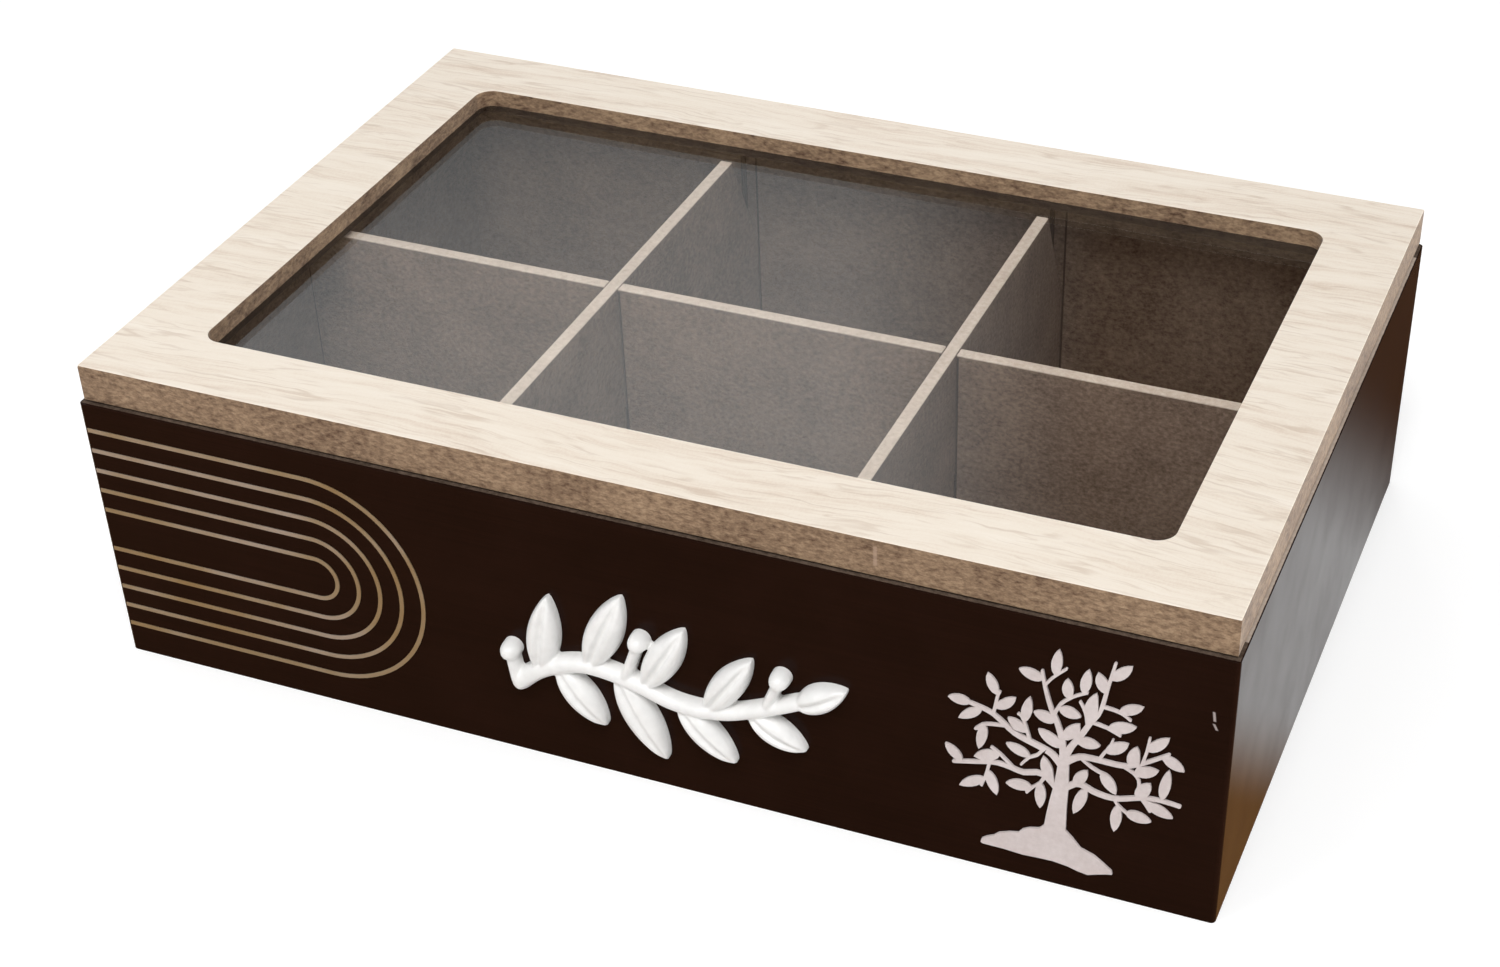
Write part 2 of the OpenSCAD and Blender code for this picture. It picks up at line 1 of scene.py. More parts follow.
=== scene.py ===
# %% [markdown]
# # A tea box with a window lid
#
# This lesson dresses a low wooden box: six compartments, a hinged lid with a
# recessed window, and ornaments on a dark front. The construction model is
# loaded as a fixed frame, with every board, hinge and screw at its real size.
# What Blender adds is how the box looks: softened edges, printed oak paper,
# bare fibreboard, dark film, glass, and a smooth leaf sprig.

# %% Load the frame
import json
import math

import bmesh
import bpy
import numpy as np
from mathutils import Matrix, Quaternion, Vector

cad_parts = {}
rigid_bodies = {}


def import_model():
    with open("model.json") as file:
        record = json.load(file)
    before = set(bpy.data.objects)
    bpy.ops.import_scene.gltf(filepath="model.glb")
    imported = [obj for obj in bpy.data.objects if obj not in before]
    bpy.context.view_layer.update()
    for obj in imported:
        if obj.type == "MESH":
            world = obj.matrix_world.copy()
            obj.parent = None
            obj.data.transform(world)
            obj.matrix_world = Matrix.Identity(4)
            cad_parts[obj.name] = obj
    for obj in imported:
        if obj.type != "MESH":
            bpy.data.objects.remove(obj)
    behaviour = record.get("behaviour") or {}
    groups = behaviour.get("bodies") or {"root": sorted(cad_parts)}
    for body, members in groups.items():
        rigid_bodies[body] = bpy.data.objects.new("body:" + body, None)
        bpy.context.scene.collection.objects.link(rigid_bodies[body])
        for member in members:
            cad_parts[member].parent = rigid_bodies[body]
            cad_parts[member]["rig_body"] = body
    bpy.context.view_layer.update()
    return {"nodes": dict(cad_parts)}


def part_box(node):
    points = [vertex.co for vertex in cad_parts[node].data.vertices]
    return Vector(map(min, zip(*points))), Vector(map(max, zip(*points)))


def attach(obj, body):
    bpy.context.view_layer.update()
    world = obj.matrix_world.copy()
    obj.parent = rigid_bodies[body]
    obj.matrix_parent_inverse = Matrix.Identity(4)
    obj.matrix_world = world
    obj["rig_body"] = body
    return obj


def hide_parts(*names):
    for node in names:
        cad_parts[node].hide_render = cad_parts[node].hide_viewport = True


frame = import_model()
nodes = frame["nodes"]
scene = bpy.context.scene

# %% [markdown]
# ## Where things are
#
# All places come from the frame, so nothing is fitted by eye. The maths of
# the patterns is easier in millimetres, so a short function converts.

# %% Measure the box
MM = 0.001


def node_box(name):
    """Lowest and highest corner of a node, in millimetres."""
    low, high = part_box(name)
    return np.array(low) / MM, np.array(high) / MM


front_low, front_high = node_box("front_wall")
back_low, back_high = node_box("back_wall")
BOX_W = front_high[0] - front_low[0]
BOX_D = back_high[1] - front_low[1]
RIM_Z = front_high[2]
foil_low, foil_high = node_box("lid_foil")
FOIL_Z = foil_low[2]
LID_TOP = foil_high[2]
DIVIDER_TOP = node_box("long_divider")[1][2]
short_low, short_high = node_box("right_short_divider")
SHORT_X = (short_low[0] + short_high[0]) / 2
DIVIDER_T = short_high[0] - short_low[0]
print(f"Box {BOX_W:.0f} x {BOX_D:.0f} x {RIM_Z:.1f} mm, lid up to {LID_TOP:.0f} mm")

# %% [markdown]
# ## The camera
#
# The photograph looks down at the front right corner. Seventeen corners of the
# box and lid gave the place of the camera and the length of its lens. The box
# isn't in the middle of the picture's perspective, so the lens is shifted a
# little, as on a view camera.

# %% Set up the camera
PHOTO_W, PHOTO_H = 1500, 967
LENS_CENTRE = (850, 600)
LENS_MM, SENSOR_MM = 61.74, 36
CAMERA_PLACE = Vector((187.7, -428.5, 340.8)) * MM
AIM_AZIMUTH, AIM_ELEVATION, ROLL = (math.radians(a) for a in (21.93, 36.98, 0.82))
camera_data = bpy.data.cameras.new("camera")
camera_data.lens = LENS_MM
camera_data.sensor_width = SENSOR_MM
camera_data.shift_x = (PHOTO_W / 2 - LENS_CENTRE[0]) / PHOTO_W
camera_data.shift_y = (LENS_CENTRE[1] - PHOTO_H / 2) / PHOTO_W
camera_data.clip_start = 0.01
camera = bpy.data.objects.new("camera", camera_data)
camera.location = CAMERA_PLACE
back = Vector((
    math.sin(AIM_AZIMUTH) * math.cos(AIM_ELEVATION),
    -math.cos(AIM_AZIMUTH) * math.cos(AIM_ELEVATION),
    math.sin(AIM_ELEVATION),
))
camera.rotation_mode = "QUATERNION"
camera.rotation_quaternion = (-back).to_track_quat("-Z", "Y") @ Quaternion((0, 0, 1), -ROLL)
scene.collection.objects.link(camera)
scene.camera = camera
scene.view_settings.view_transform = "Standard"
print(f"Camera {CAMERA_PLACE.length / MM:.0f} mm from the box, lens {LENS_MM} mm")

# %% [markdown]
# ## Shader maths as Python
#
# A material is a small program. `Wire` wraps one socket, so that `a * b + 1`
# adds the Math nodes for it. `Shader` adds nodes to a tree by their type, and
# `Finish` makes one material with it: it reads the coordinates of the piece in
# millimetres and sets the values of the surface.

# %% Wires and finishes


class Wire:
    """One output of a shader tree. Sums and products of wires add Math nodes."""

    def __init__(self, finish, socket):
        self.finish = finish
        self.socket = socket

    def math(self, operation, *values):
        """Math node of all the values; a wire that is one of them is named among them."""
        return self.finish.node("ShaderNodeMath", {"operation": operation}, dict(enumerate(values)))

    def __add__(self, other):
        return self.math("ADD", self, other)

    def __sub__(self, other):
        return self.math("SUBTRACT", self, other)

    def __rsub__(self, other):
        return self.math("SUBTRACT", other, self)

    def __mul__(self, other):
        return self.math("MULTIPLY", self, other)

    def __truediv__(self, other):
        return self.math("DIVIDE", self, other)

    def __abs__(self):
        return self.math("ABSOLUTE", self)

    __radd__ = __add__
    __rmul__ = __mul__

    def least(self, other):
        return self.math("MINIMUM", self, other)

    def most(self, other):
        return self.math("MAXIMUM", self, other)

    def step(self, low, high, out_low=0.0, out_high=1.0):
        """Smooth step: out_low below low, out_high above high."""
        return self.finish.node(
            "ShaderNodeMapRange",
            {"interpolation_type": "SMOOTHSTEP"},
            {0: self, 1: low, 2: high, 3: out_low, 4: out_high},
        )

    def output(self, name):
        """Another output of the same node."""
        return Wire(self.finish, self.socket.node.outputs[name])


class Shader:
    """A tree of shader nodes, of a material or of the world."""

    def __init__(self, tree):
        self.tree = tree

    def node(self, kind, settings=None, inputs=None):
        """Adds a node, sets its settings, then fills its inputs by index or name."""
        made = self.tree.nodes.new(kind)
        for key, value in (settings or {}).items():
            if key == "stops":
                self._fill_ramp(made.color_ramp, value)
            else:
                setattr(made, key, value)
        for key, value in (inputs or {}).items():
            self._connect(made.inputs[key], value)
        return Wire(self, next(o for o in made.outputs if o.enabled))

    def _fill_ramp(self, ramp, stops):
        while len(ramp.elements) < len(stops):
            ramp.elements.new(1.0)
        for element, (position, colour) in zip(ramp.elements, stops):
            element.position = position
            element.color = (*colour, 1.0)

    def _connect(self, socket, value):
        if isinstance(value, Wire):
            self.tree.links.new(value.socket, socket)
        elif socket.type == "RGBA" and len(value) == 3:
            socket.default_value = (*value, 1.0)
        else:
            socket.default_value = value

    def mix(self, factor, low, high):
        """Colour that goes from low to high."""
        return self.node(
            "ShaderNodeMix",
            {"data_type": "RGBA"},
            {"Factor": factor, 6: low, 7: high},
        )


class Finish(Shader):
    """One procedural material for a kind of surface on the box."""

    def __init__(self, name):
        self.material = bpy.data.materials.new(name)
        self.material.use_nodes = True
        super().__init__(self.material.node_tree)
        self.surface = self.tree.nodes["Principled BSDF"]
        place = self.node("ShaderNodeTexCoord").output("Object")
        self.place = self.scale(place, 1 / MM)
        xyz = self.node("ShaderNodeSeparateXYZ", inputs={0: self.place})
        self.x, self.y, self.z = (xyz.output(axis) for axis in "XYZ")

    def scale(self, vector, factor):
        settings = {"operation": "SCALE"}
        return self.node("ShaderNodeVectorMath", settings, {0: vector, "Scale": factor})

    def vector(self, x, y, z):
        return self.node("ShaderNodeCombineXYZ", inputs={0: x, 1: y, 2: z})

    def noise(self, size, detail=3.0, rough=0.5, stretch=(1, 1, 1), shift=0.0, place=None):
        """Noise from 0 to 1 whose lumps measure about size mm, times stretch on each axis."""
        per_mm = tuple(1 / (size * s) for s in stretch)
        moved = self.node(
            "ShaderNodeMapping",
            inputs={"Vector": place or self.place, "Location": (shift,) * 3, "Scale": per_mm},
        )
        return self.node(
            "ShaderNodeTexNoise",
            inputs={"Vector": moved, "Scale": 1.0, "Detail": detail, "Roughness": rough},
        )

    def ramp(self, factor, *stops):
        """Colour by a factor: each stop is a place from 0 to 1 and a linear colour."""
        return self.node("ShaderNodeValToRGB", {"stops": stops}, {0: factor})

    def bump(self, height, depth):
        """Normal of a surface whose height runs from 0 to 1 over depth mm."""
        return self.node(
            "ShaderNodeBump", inputs={"Height": height, "Strength": 1.0, "Distance": depth * MM}
        )

    def set(self, **values):
        """Fills sockets of the surface; an underscore stands for a space."""
        for key, value in values.items():
            self._connect(self.surface.inputs[key.replace("_", " ")], value)
        return self


def linear(red, green, blue):
    """Screen colour given from 0 to 255, as the linear values that shaders use."""
    screen = np.array([red, green, blue]) / 255
    curve = ((screen + 0.055) / 1.055) ** 2.4
    return tuple(float(v) for v in np.where(screen <= 0.04045, screen / 12.92, curve))


# %% [markdown]
# ## Bare fibreboard
#
# Walls, dividers and the cut edges of the lid are medium-density fibreboard.
# It has no grain: pressed fibres make fine light and dark flecks on a brown
# ground, with larger, fainter clouds. A picture of a board would do, but two
# noises give the same flecks on every face without seams. The sawn top of a
# divider is paler than its faces, so the material turns pale just under the
# top. Where a divider stands in a groove or a slot, there is a little dark gap
# beside it. A thin dark line of painted shade on the walls and the long divider
# stands for the shadow in that gap.

# %% Fibreboard


def fibre_pattern(finish, fleck=0.9, lying=1.3):
    """Flecks and clouds of fibreboard as one value from 0, dark, to 1, pale.

    The pressed fibres lie flat, so flecks are lying times longer than their size.
    """
    flecks = finish.noise(fleck, detail=3, rough=0.7, stretch=(lying, lying, 0.9))
    clouds = finish.noise(14, detail=2, shift=5)
    return (flecks - 0.5) * 1.5 + (clouds - 0.5) * 0.6 + 0.5


def board_colour(finish, fibres, dark, pale):
    """Fibre colours between two screen colours."""
    return finish.ramp(fibres, (0.1, linear(*dark)), (0.9, linear(*pale)))


def sawn_top(finish, fibres, face, top_z):
    """The face colour, which turns to that of a pale sawn edge just under a height."""
    edge = board_colour(finish, fibres, (168, 151, 137), (199, 184, 171))
    return finish.mix(finish.z.step(top_z - 0.35, top_z - 0.15), face, edge)


# Painted shade: the dark line beside a divider in a groove lies this many mm past its face
GROOVE_SHADE_OFFSET = 0.35


def shade_beside_grooves(finish, face, from_middle):
    """The face colour, with a dark line of painted shade at each side of a divider that stands in a
    groove.

    A line lies where the distance from the divider's middle is half its thickness
    and GROOVE_SHADE_OFFSET more. It ends a little below the top of the dividers.
    """
    groove_shade = abs(from_middle - DIVIDER_T / 2 - GROOVE_SHADE_OFFSET).step(0.25, 0.5, 0.95, 0)
    groove_shade = groove_shade * finish.z.step(DIVIDER_TOP - 0.7, DIVIDER_TOP - 0.4, 1, 0)
    return finish.mix(groove_shade, face, linear(26, 19, 14))


def fibreboard(name, dark, pale, depth=0.12, top_z=None, paint_groove_shade=False):
    """Bare board between two colours.

    It has a pale edge where top_z is given, and lines of painted shade beside the short
    dividers where paint_groove_shade is true. The fibres stand out by depth mm.
    """
    board = Finish(name)
    fibres = fibre_pattern(board)
    colour = board_colour(board, fibres, dark, pale)
    if top_z:
        colour = sawn_top(board, fibres, colour, top_z)
    if paint_groove_shade:
        colour = shade_beside_grooves(board, colour, abs(abs(board.x) - SHORT_X))
    return board.set(
        Base_Color=colour, Roughness=0.75, Specular_IOR_Level=0.3, Normal=board.bump(fibres, depth)
    ).material


FINE = 0.08
divider_colours = (66, 53, 44), (131, 112, 98)
# The long divider's faces carry lines of painted shade beside the short dividers' slots
long_board = fibreboard("bare_long_divider", *divider_colours, FINE, DIVIDER_TOP, paint_groove_shade=True)
short_board = fibreboard("bare_short_divider", *divider_colours, FINE, DIVIDER_TOP)
bare_bottom = fibreboard("bare_bottom_board", (66, 52, 42), (123, 102, 87), FINE)
# The strips under the pane are drawn near black: painted shade for the shadow under the edge of the
# pane
shade_dark_pane_strip = fibreboard("pane_strip_painted_shade", (30, 20, 15), (50, 37, 29))
print("Boards:", ", ".join(b.name for b in (long_board, short_board, bare_bottom, shade_dark_pane_strip)))

# %% [markdown]
# ## The dark walls
#
# The four walls are fibreboard with a dark brown film on the outside only. The
# film is thin, so the bare rim shows it as a dark line along its outer edge. On
# the front and back that line is drawn wider and the pale sawn edge is left out.
# This darker rim is painted shade, standing for the shade under the lid's edge.
# A second skin of film over each board would leave seams, so one material
# measures how deep a point lies under the outside of the box, and turns from
# film to bare board there. Only the side walls show a pale sawn rim. The film is
# smooth and faintly brushed along its length, which draws out the reflections on
# its side. Two short scratches near the front right corner show that it is only a film.

# %% Dark film over fibreboard
# The film's line on the front and back rims is drawn wider, as painted shade under the lid's edge
FRONT_FILM_AND_SHADE_T, SIDE_FILM_T = 0.55, 0.25
WALL_T = front_high[1] - front_low[1]
BARE_STEP = 0.06
# A low index keeps the front deep brown, and still mirrors the floor at a flat angle
FILM_IOR = 1.14
# Middle of a scratch as x and z, half of its length, and how far it leans
SCRATCHES = [(116.25, 49.5, 1.1, 0.14), (116.6, 47.2, 0.7, 0.5)]


def scuff(wall):
    """Two short pale scratches beside the front right corner, 1 where the film is gone."""
    first, second = (
        abs(wall.x - x + (wall.z - z) * lean).step(0.1, 0.36, 1, 0)
        * abs(wall.z - z).step(half - 0.2, half + 0.1, 1, 0)
        for x, z, half, lean in SCRATCHES
    )
    return first.most(second)


def film_walls():
    """Film where a point lies less than the film's thickness deep, bare board under it."""
    wall = Finish("dark_film_on_board")
    side_depth = BOX_W / 2 - abs(wall.x) - SIDE_FILM_T
    front_depth = BOX_D / 2 - abs(wall.y) - FRONT_FILM_AND_SHADE_T
    ragged = (wall.noise(0.8, detail=2) - 0.5) * 0.2
    bare = (side_depth.least(front_depth) + ragged).step(-BARE_STEP, BARE_STEP)
    fibres = fibre_pattern(wall)
    scratched = scuff(wall) * wall.y.step(-BOX_D / 2, 0, 1, 0)
    board = board_colour(wall, fibres, (56, 45, 37), (110, 94, 82))
    # Painted shade: dark lines on the walls beside the dividers' grooves
    board = shade_beside_grooves(wall, board, abs(abs(wall.x) - SHORT_X).least(abs(wall.y)))
    # On the front and back walls the pale edge is lifted above the rim, out of sight, so their
    # darker rim is painted shade under the lid's edge
    pale_rim_z_front_shaded = RIM_Z + front_depth.step(WALL_T - 0.6, WALL_T, 1, 0)
    board = sawn_top(wall, fibres, board, pale_rim_z_front_shaded)
    brushed = wall.noise(0.5, detail=2, stretch=(60, 60, 0.7))
    cloud = wall.noise(16, detail=3, shift=9)
    film = wall.ramp(
        brushed * 0.5 + cloud * 0.5, (0.35, linear(28, 14, 9)), (0.7, linear(35, 18, 12))
    )
    height = bare * fibres + (1 - bare) * brushed * 0.04
    covered = wall.mix(bare, film, board)
    return wall.set(
        Base_Color=wall.mix(scratched * 0.85, covered, linear(178, 164, 160)),
        Roughness=bare * 0.5 + 0.2 + (1 - bare) * (cloud - 0.5) * 0.16,
        IOR=FILM_IOR,
        Normal=wall.bump(height, 0.12),
    ).material


dark_walls = film_walls()
print(f"Walls {WALL_T:.0f} mm, film {SIDE_FILM_T} to {FRONT_FILM_AND_SHADE_T} mm thick")

# %% [markdown]
# ## The lid
#
# The lid is one board with a paper of printed oak on its top. The print runs
# along the lid everywhere, even across the short sides, as it does on sheet
# goods. Three layers make the grain: soft bands, fine streaks, and thin darker
# lines along the contours of a noise. All are stretched along X and bent by a
# slow wave and a ripple, so that no line is straight. Fine dots over them are
# those of the printing. The paper ends just under the top edge, and below it
# the cut board shows, with one small nick at the front.

# %% Oak-print paper and the cut board under it
PAPER_T, PAPER_SOFT = 0.15, 0.04
NICK_X, NICK_Z = 51.5, 67.4


def grain_lines(lid, bent, size, shift):
    """Thin wavy lines, 1 along each contour of a stretched noise, 0 between them."""
    contours = lid.noise(size, detail=2, rough=0.45, stretch=(12, 1, 1), place=bent, shift=shift)
    fade = lid.noise(7, detail=1, stretch=(2.4, 0.8, 1), shift=shift).step(0.42, 0.6)
    return abs(contours - 0.5).step(0.0, 0.04, 1, 0) * fade


def oak_colour(lid):
    """Colour of the oak print: soft bands, fine streaks and thin darker lines."""
    sway = (lid.noise(45, detail=0, stretch=(1.6, 0.8, 1)) - 0.5) * 10
    ripple = (lid.noise(6, detail=2, stretch=(1.4, 0.5, 1), shift=4) - 0.5) * 2.2
    bent = lid.vector(lid.x, lid.y + sway + ripple, lid.z)
    bands = lid.noise(3.5, detail=2, stretch=(12, 1, 1), place=bent)
    streaks = lid.noise(0.75, detail=3, rough=0.6, stretch=(18, 0.8, 1), place=bent, shift=3)
    print_dots = lid.noise(0.45, detail=1, stretch=(1, 1.8, 1), shift=7)
    lines = grain_lines(lid, bent, 3.5, 11).most(grain_lines(lid, bent, 2, 17) * 0.7)
    tone = (bands - 0.5) * 0.9 + (streaks - 0.5) * 0.8 + (print_dots - 0.5) * 0.25 + 0.43
    wood = lid.ramp(
        tone,
        (0.1, linear(250, 240, 226)),
        (0.45, linear(244, 232, 216)),
        (0.75, linear(231, 214, 196)),
        (0.95, linear(214, 194, 173)),
    )
    return lid.mix(lines * 0.42, wood, linear(196, 172, 150)), tone


def nicked(lid, board):
    """The board's colour, with a short pale upright nick in the front edge."""
    nick = abs(lid.x - NICK_X).step(0.15, 0.55, 0.6, 0)
    nick = nick * abs(lid.z - NICK_Z).step(1.9, 2.4, 1, 0)
    nick = nick * lid.y.step(-BOX_D / 2 + 2, -BOX_D / 2 + 4, 1, 0)
    return lid.mix(nick, board, linear(182, 154, 132))


def lid_finish():
    """Oak print on the topmost PAPER_T mm, cut board below."""
    lid = Finish("oak_print_on_board")
    oak, tone = oak_colour(lid)
    fibres = fibre_pattern(lid, fleck=1.0, lying=1.9)
    board = nicked(lid, board_colour(lid, fibres, (74, 46, 26), (178, 149, 118)))
    paper_end = LID_TOP - PAPER_T
    paper = lid.z.step(paper_end - PAPER_SOFT, paper_end + PAPER_SOFT)
    return lid.set(
        Base_Color=lid.mix(paper, board, oak),
        Roughness=0.72 - paper * 0.24,
        Specular_IOR_Level=0.45,
        Sheen_Weight=0.25,
        Sheen_Roughness=0.4,
        Normal=lid.bump(paper * tone * 0.12 + (1 - paper) * fibres, 0.14),
    ).material


oak_lid = lid_finish()
print(f"Lid finish: print above {LID_TOP - PAPER_T:.2f} mm, bare board below")

# %% [markdown]
# ## Ornament finishes
#
# The lines are thin gold print: part metal, part colour, with patches that go
# from gold to beige and a fine grit that dulls the shine here and there. The
# tree is pale, cut from thin sheet, and slightly mottled. The sprig is painted
# white with a soft sheen. None of them needs a picture: a noise or two is enough
# for a finish that only varies a little from place to place.

# %% Gold, pale sheet and white paint


def gold_print():
    """Gold to beige in three stops of a broad noise, with a fine grit in the gloss."""
    gold = Finish("gold_line_print")
    patches = gold.noise(18, detail=2)
    colour = gold.ramp(
        patches,
        (0.3, linear(152, 127, 88)),
        (0.5, linear(160, 141, 112)),
        (0.7, linear(174, 160, 146)),
    )
    grit = gold.noise(0.5, detail=2)
    return gold.set(
        Base_Color=colour, Metallic=0.35, Roughness=grit * 0.25 + 0.35, Normal=gold.bump(grit, 0.02)
    ).material


def pale_sheet():
    """Two pale tones, mixed by a fine and a broad noise."""
    sheet = Finish("pale_tree_sheet")
    mottle = sheet.noise(1.2, detail=4, rough=0.7) * 0.6 + sheet.noise(9, detail=1) * 0.4
    colour = sheet.ramp(mottle, (0.3, linear(203, 190, 187)), (0.7, linear(224, 213, 211)))
    return sheet.set(
        Base_Color=colour, Roughness=0.55, Specular_IOR_Level=0.4, Normal=sheet.bump(mottle, 0.04)
    ).material


def white_paint():
    """Two near whites under a satin gloss, faintly dappled by the brush."""
    paint = Finish("white_satin_paint")
    dapple = paint.noise(2.5, detail=3)
    colour = paint.ramp(dapple, (0.3, linear(238, 237, 235)), (0.7, linear(247, 246, 244)))
    return paint.set(
        Base_Color=colour, Roughness=0.32, Specular_IOR_Level=0.5, Normal=paint.bump(dapple, 0.05)
    ).material


gold_lines = gold_print()
pale_tree = pale_sheet()
white_sprig = white_paint()
print("Ornaments:", ", ".join(m.name for m in (gold_lines, pale_tree, white_sprig)))

# %% [markdown]
# ## Glass and metal
#
# The pane is clear and thin. Real glass lets lamplight through to what is
# behind it, but a path tracer treats that as hard work, so rays that look for
# a lamp pass straight through. The hinges are plated in a brass tone, brushed
# along their length, with darker patches where the plating is handled.

# %% Pane, hinge metal and nails


def clear_pane():
    """Clear glass that rays on their way to a lamp cross without bending."""
    pane = Finish("clear_window_pane")
    pane.set(
        Base_Color=(0.985, 0.995, 0.99), Roughness=0.0, Transmission_Weight=1.0, IOR=1.5
    )
    shadow = pane.node("ShaderNodeLightPath").output("Is Shadow Ray")
    clear = pane.node("ShaderNodeBsdfTransparent", inputs={"Color": (0.95, 0.96, 0.955)})
    glass = Wire(pane, pane.surface.outputs["BSDF"])
    mixed = pane.node("ShaderNodeMixShader", inputs={0: shadow, 1: glass, 2: clear})
    output = pane.tree.nodes["Material Output"]
    pane.tree.links.new(mixed.socket, output.inputs["Surface"])
    return pane.material


def plated(name, dark, pale, roughness):
    """Brushed metal between two colours; the paler patches are the rougher ones."""
    metal = Finish(name)
    brushed = metal.noise(0.15, detail=2, stretch=(30, 1, 1))
    patches = metal.noise(5, detail=2, shift=2)
    colour = metal.ramp(brushed * 0.4 + patches * 0.6, (0.3, linear(*dark)), (0.7, linear(*pale)))
    return metal.set(
        Base_Color=colour,
        Metallic=1.0,
        Roughness=patches * 0.2 + roughness,
        Normal=metal.bump(brushed, 0.01),
    ).material


window_glass = clear_pane()
hinge_brass = plated("brass_plated_hinge", (176, 142, 82), (214, 184, 122), 0.22)
screw_brass = plated("brass_plated_screw", (190, 158, 96), (226, 200, 142), 0.18)
nail_steel = plated("nail_steel", (140, 140, 142), (190, 190, 192), 0.3)
print("Pane and metals:", window_glass.name, hinge_brass.name, screw_brass.name, nail_steel.name)

# %% [markdown]
# ## Softened boards
#
# No board has a perfectly sharp edge: the saw and a touch of sandpaper leave a
# tiny round that catches the light. The frame's meshes stay untouched, so each
# board is copied, its loose triangles are merged and flat ones are joined. Then
# a Bevel modifier rounds the edges that turn by more than SHARP_ANGLE. Where two
# boards meet flush, as film over a joint or paper on the lid board, the edges
# stay sharp, or a groove would show between them. Edge Split parts the faces at
# these edges, and Weighted Normal lets the big flat faces decide how light
# falls on their corners, so that only the rounds look round.

# %% Copy a node and round its edges
SHARP_ANGLE = math.radians(40)
JOINT_ANGLE = math.radians(50)
FLAT_ANGLE = math.radians(0.5)


def in_plane(edge, flush):
    """True where both ends of an edge lie in one of the flush planes, as (axis, mm)."""
    ends = [vert.co for vert in edge.verts]
    return any(all(abs(co[axis] / MM - at) < 0.02 for co in ends) for axis, at in flush)


def softened(node, width, material, flush=()):
    """Stands for a node: its merged copy with edges rounded by width mm."""
    mesh = nodes[node].data.copy()
    mesh.materials.clear()
    mesh.materials.append(material)
    shape = bmesh.new()
    shape.from_mesh(mesh)
    bmesh.ops.remove_doubles(shape, verts=shape.verts, dist=0.002 * MM)
    bmesh.ops.dissolve_limit(
        shape, angle_limit=FLAT_ANGLE, verts=shape.verts, edges=shape.edges
    )
    weight = shape.edges.layers.float.new("bevel_weight_edge")
    for edge in shape.edges:
        sharp = edge.calc_face_angle(0) > SHARP_ANGLE
        edge[weight] = float(sharp and not in_plane(edge, flush))
    for face in shape.faces:
        face.smooth = True
    shape.to_mesh(mesh)
    shape.free()
    piece = bpy.data.objects.new(node + "_piece", mesh)
    scene.collection.objects.link(piece)
    bevel = piece.modifiers.new("soft_edges", "BEVEL")
    bevel.width = width * MM
    bevel.segments = 2
    bevel.limit_method = "WEIGHT"
    bevel.use_clamp_overlap = True
    bevel.face_strength_mode = "FSTR_ALL"
    joints = piece.modifiers.new("open_joints", "EDGE_SPLIT")
    joints.split_angle = JOINT_ANGLE
    joints.use_edge_sharp = False
    flat = piece.modifiers.new("flat_faces", "WEIGHTED_NORMAL")
    flat.use_face_influence = True
    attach(piece, nodes[node]["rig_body"])
    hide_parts(node)


def dress(node, material):
    """Gives a node of the frame its material."""
    nodes[node].data.materials.clear()
    nodes[node].data.materials.append(material)


# %% Round and dress the pieces
X, Y, Z = range(3)
wall_joints = [(Y, front_high[1]), (Y, back_low[1])]
for wall in ("front_wall", "back_wall", "left_wall", "right_wall"):
    softened(wall, 0.25, dark_walls, wall_joints)
softened("bottom_panel", 0.2, bare_bottom)
softened("long_divider", 0.15, long_board)
softened("left_short_divider", 0.15, short_board)
softened("right_short_divider", 0.15, short_board)
softened("lid_frame", 0.2, oak_lid, [(Z, FOIL_Z)])
softened("lid_foil", 0.2, oak_lid, [(Z, FOIL_Z)])
for side in ("front", "back", "left", "right"):
    softened(side + "_pane_strip", 0.2, shade_dark_pane_strip)
for side in ("left", "right"):
    softened(side + "_hinge_box_leaf", 0.12, hinge_brass)
    softened(side + "_hinge_lid_leaf", 0.12, hinge_brass)
    dress(side + "_hinge_pin", hinge_brass)
    dress(side + "_hinge_box_screws", screw_brass)
    dress(side + "_hinge_lid_screws", screw_brass)
softened("tree_silhouette", 0.1, pale_tree)
dress("bottom_brads", nail_steel)
dress("window_pane", window_glass)
dress("arch_lines", gold_lines)
print("Rounded and dressed the frame's pieces")

# %% [markdown]
# ## The leaf sprig
#
# The frame holds the sprig as a flat cut-out with stepped edges. A moulded sprig
# is softly rounded, so it is built anew as skins: a closed section is carried
# along each stem, leaf and berry while its width and height swell and shrink.
# The section is a superellipse on a flat back, with a crease for the midrib of
# a leaf. The places are the frame's, in millimetres about the middle.

# %% One skin: a section carried along a line
SECTION_POINTS = 36
BACK_POINTS = 10
ROUNDNESS = 2.5
SUNK = 0.6
RIB_W = 0.6


def section(half_width, height, crease):
    """Closed section of a skin, for each row of half widths and heights.

    Over the angle a from 0 to pi, the front runs along
    (cos a, sin a) ** (2 / roundness), times half width and height. A bell curve
    of the distance from the middle cuts the crease. The back is a straight line
    that lies a little inside the wall.
    """
    angle = np.linspace(0, math.pi, SECTION_POINTS)
    across = np.sign(np.cos(angle)) * np.abs(np.cos(angle)) ** (2 / ROUNDNESS)
    lift = np.abs(np.sin(angle)) ** (2 / ROUNDNESS)
    across = half_width[:, None] * across
    lift = height[:, None] * lift - crease[:, None] * np.exp(-((across / RIB_W) ** 2))
    back = np.linspace(-1, 1, BACK_POINTS)
    across = np.hstack([across, half_width[:, None] * back])
    lift = np.hstack([lift, np.full((len(half_width), BACK_POINTS), -SUNK)])
    return across, lift


